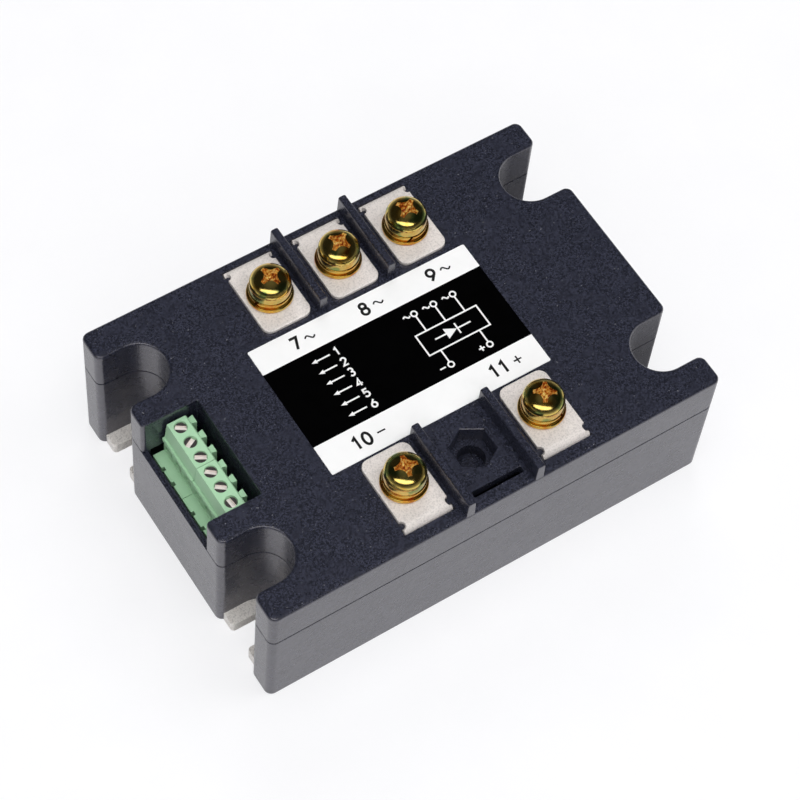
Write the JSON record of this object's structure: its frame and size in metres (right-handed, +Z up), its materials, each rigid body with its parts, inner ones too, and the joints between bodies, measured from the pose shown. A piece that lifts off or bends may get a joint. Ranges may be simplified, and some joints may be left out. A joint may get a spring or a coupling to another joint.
{
  "type": "three-phase solid state power module",
  "caption": "Panel-mount solid state power module: dark two-piece housing on a metal base, screw terminals between partitions, a green control terminal block and notched corners.",
  "frame": {"origin": "middle of the metal base's underside", "axes": "+X along the long side, away from the control terminals; +Y towards the input terminals; +Z up"},
  "size_m": [0.1042, 0.073, 0.0417],
  "materials": {
    "housing_plastic": "fine spark-eroded matt, glass-filled nylon",
    "base_metal": "nickel plated, satin",
    "busbar_metal": "tin plated, satin",
    "yellow_zinc": "yellow passivated zinc, glossy with iridescent tints",
    "label_film": "printed black and white film, satin",
    "green_plastic": "satin polyamide",
    "nickel": "nickel plated",
    "clamp_brass": "plain",
    "circuit_board": "green solder mask",
    "ceramic": "fired alumina",
    "copper": "bare copper",
    "silicon": "soldered silicon chip",
    "black_component": "moulded epoxy",
    "white_component": "moulded epoxy",
    "capacitor_sleeve": "shrink sleeve"
  },
  "bodies": {
    "housing": {"base_plate": "base_metal", "lower_housing": "housing_plastic", "lid": "housing_plastic", "label": "label_film", "terminal_nuts": "yellow_zinc", "contact_pins": "nickel", "control_block_1": "green_plastic", "control_block_2": "green_plastic", "control_board": "circuit_board", "board_screws": "nickel", "ceramic_substrates": "ceramic", "substrate_copper": "copper", "thyristor_chips": "silicon", "diode_chips": "silicon", "positive_bus": "copper", "negative_bus": "copper", "gate_leads": "nickel", "pulse_transformers": "black_component", "optocouplers": "white_component", "controller_chip": "black_component", "capacitors": "capacitor_sleeve", "voltage_regulator": "black_component", "resistors": "black_component", "input_busbar_1": "busbar_metal", "input_busbar_2": "busbar_metal", "input_busbar_3": "busbar_metal", "output_busbar_1": "busbar_metal", "output_busbar_2": "busbar_metal"},
    "washers_1": {"flat_washer_1": "yellow_zinc", "spring_washer_1": "yellow_zinc"},
    "screw_1": {"terminal_screw_1": "yellow_zinc"},
    "washers_2": {"flat_washer_2": "yellow_zinc", "spring_washer_2": "yellow_zinc"},
    "screw_2": {"terminal_screw_2": "yellow_zinc"},
    "washers_3": {"flat_washer_3": "yellow_zinc", "spring_washer_3": "yellow_zinc"},
    "screw_3": {"terminal_screw_3": "yellow_zinc"},
    "washers_4": {"flat_washer_4": "yellow_zinc", "spring_washer_4": "yellow_zinc"},
    "screw_4": {"terminal_screw_4": "yellow_zinc"},
    "washers_5": {"flat_washer_5": "yellow_zinc", "spring_washer_5": "yellow_zinc"},
    "screw_5": {"terminal_screw_5": "yellow_zinc"},
    "clamp_screw_1": {"clamp_screw_1": "nickel"},
    "clamp_cage_1": {"clamp_cage_1": "clamp_brass"},
    "clamp_screw_2": {"clamp_screw_2": "nickel"},
    "clamp_cage_2": {"clamp_cage_2": "clamp_brass"},
    "clamp_screw_3": {"clamp_screw_3": "nickel"},
    "clamp_cage_3": {"clamp_cage_3": "clamp_brass"},
    "clamp_screw_4": {"clamp_screw_4": "nickel"},
    "clamp_cage_4": {"clamp_cage_4": "clamp_brass"},
    "clamp_screw_5": {"clamp_screw_5": "nickel"},
    "clamp_cage_5": {"clamp_cage_5": "clamp_brass"},
    "clamp_screw_6": {"clamp_screw_6": "nickel"},
    "clamp_cage_6": {"clamp_cage_6": "clamp_brass"}
  },
  "joints": [
    {"name": "terminal_lift_1", "type": "slide", "parent": "housing", "child": "washers_1", "axis": [0, 0, 1], "range_m": [0, 0.005]},
    {"name": "terminal_turn_1", "type": "hinge", "parent": "washers_1", "child": "screw_1", "pos_m": [-0.0152, 0.0253, 0.037], "axis": [0, 0, 1], "range_deg": [0, 2250]},
    {"name": "terminal_lift_2", "type": "slide", "parent": "housing", "child": "washers_2", "axis": [0, 0, 1], "range_m": [0, 0.005]},
    {"name": "terminal_turn_2", "type": "hinge", "parent": "washers_2", "child": "screw_2", "pos_m": [0.0008, 0.0253, 0.037], "axis": [0, 0, 1], "range_deg": [0, 2250]},
    {"name": "terminal_lift_3", "type": "slide", "parent": "housing", "child": "washers_3", "axis": [0, 0, 1], "range_m": [0, 0.005]},
    {"name": "terminal_turn_3", "type": "hinge", "parent": "washers_3", "child": "screw_3", "pos_m": [0.0168, 0.0253, 0.037], "axis": [0, 0, 1], "range_deg": [0, 2250]},
    {"name": "terminal_lift_4", "type": "slide", "parent": "housing", "child": "washers_4", "axis": [0, 0, 1], "range_m": [0, 0.005]},
    {"name": "terminal_turn_4", "type": "hinge", "parent": "washers_4", "child": "screw_4", "pos_m": [-0.0152, -0.0243, 0.037], "axis": [0, 0, 1], "range_deg": [0, 2250]},
    {"name": "terminal_lift_5", "type": "slide", "parent": "housing", "child": "washers_5", "axis": [0, 0, 1], "range_m": [0, 0.005]},
    {"name": "terminal_turn_5", "type": "hinge", "parent": "washers_5", "child": "screw_5", "pos_m": [0.0168, -0.0243, 0.037], "axis": [0, 0, 1], "range_deg": [0, 2250]},
    {"name": "clamp_turn_1", "type": "hinge", "parent": "housing", "child": "clamp_screw_1", "pos_m": [-0.0449, 0.00953, 0.029], "axis": [0, 0, 1], "range_deg": [-1440, 0]},
    {"name": "clamp_lift_1", "type": "slide", "parent": "housing", "child": "clamp_cage_1", "axis": [0, 0, 1], "range_m": [0, 0.0016]},
    {"name": "clamp_turn_2", "type": "hinge", "parent": "housing", "child": "clamp_screw_2", "pos_m": [-0.0449, 0.00571, 0.029], "axis": [0, 0, 1], "range_deg": [-1440, 0]},
    {"name": "clamp_lift_2", "type": "slide", "parent": "housing", "child": "clamp_cage_2", "axis": [0, 0, 1], "range_m": [0, 0.0016]},
    {"name": "clamp_turn_3", "type": "hinge", "parent": "housing", "child": "clamp_screw_3", "pos_m": [-0.0449, 0.00191, 0.029], "axis": [0, 0, 1], "range_deg": [-1440, 0]},
    {"name": "clamp_lift_3", "type": "slide", "parent": "housing", "child": "clamp_cage_3", "axis": [0, 0, 1], "range_m": [0, 0.0016]},
    {"name": "clamp_turn_4", "type": "hinge", "parent": "housing", "child": "clamp_screw_4", "pos_m": [-0.0449, -0.00191, 0.029], "axis": [0, 0, 1], "range_deg": [-1440, 0]},
    {"name": "clamp_lift_4", "type": "slide", "parent": "housing", "child": "clamp_cage_4", "axis": [0, 0, 1], "range_m": [0, 0.0016]},
    {"name": "clamp_turn_5", "type": "hinge", "parent": "housing", "child": "clamp_screw_5", "pos_m": [-0.0449, -0.00571, 0.029], "axis": [0, 0, 1], "range_deg": [-1440, 0]},
    {"name": "clamp_lift_5", "type": "slide", "parent": "housing", "child": "clamp_cage_5", "axis": [0, 0, 1], "range_m": [0, 0.0016]},
    {"name": "clamp_turn_6", "type": "hinge", "parent": "housing", "child": "clamp_screw_6", "pos_m": [-0.0449, -0.00953, 0.029], "axis": [0, 0, 1], "range_deg": [-1440, 0]},
    {"name": "clamp_lift_6", "type": "slide", "parent": "housing", "child": "clamp_cage_6", "axis": [0, 0, 1], "range_m": [0, 0.0016]}
  ],
  "couplings": [
    {"joint": "terminal_turn_1", "follows": "terminal_lift_1", "rad_per_m": 7853.9},
    {"joint": "terminal_turn_2", "follows": "terminal_lift_2", "rad_per_m": 7853.9},
    {"joint": "terminal_turn_3", "follows": "terminal_lift_3", "rad_per_m": 7853.9},
    {"joint": "terminal_turn_4", "follows": "terminal_lift_4", "rad_per_m": 7853.9},
    {"joint": "terminal_turn_5", "follows": "terminal_lift_5", "rad_per_m": 7853.9},
    {"joint": "clamp_turn_1", "follows": "clamp_lift_1", "rad_per_m": -15707},
    {"joint": "clamp_turn_2", "follows": "clamp_lift_2", "rad_per_m": -15707},
    {"joint": "clamp_turn_3", "follows": "clamp_lift_3", "rad_per_m": -15707},
    {"joint": "clamp_turn_4", "follows": "clamp_lift_4", "rad_per_m": -15707},
    {"joint": "clamp_turn_5", "follows": "clamp_lift_5", "rad_per_m": -15707},
    {"joint": "clamp_turn_6", "follows": "clamp_lift_6", "rad_per_m": -15707}
  ]
}
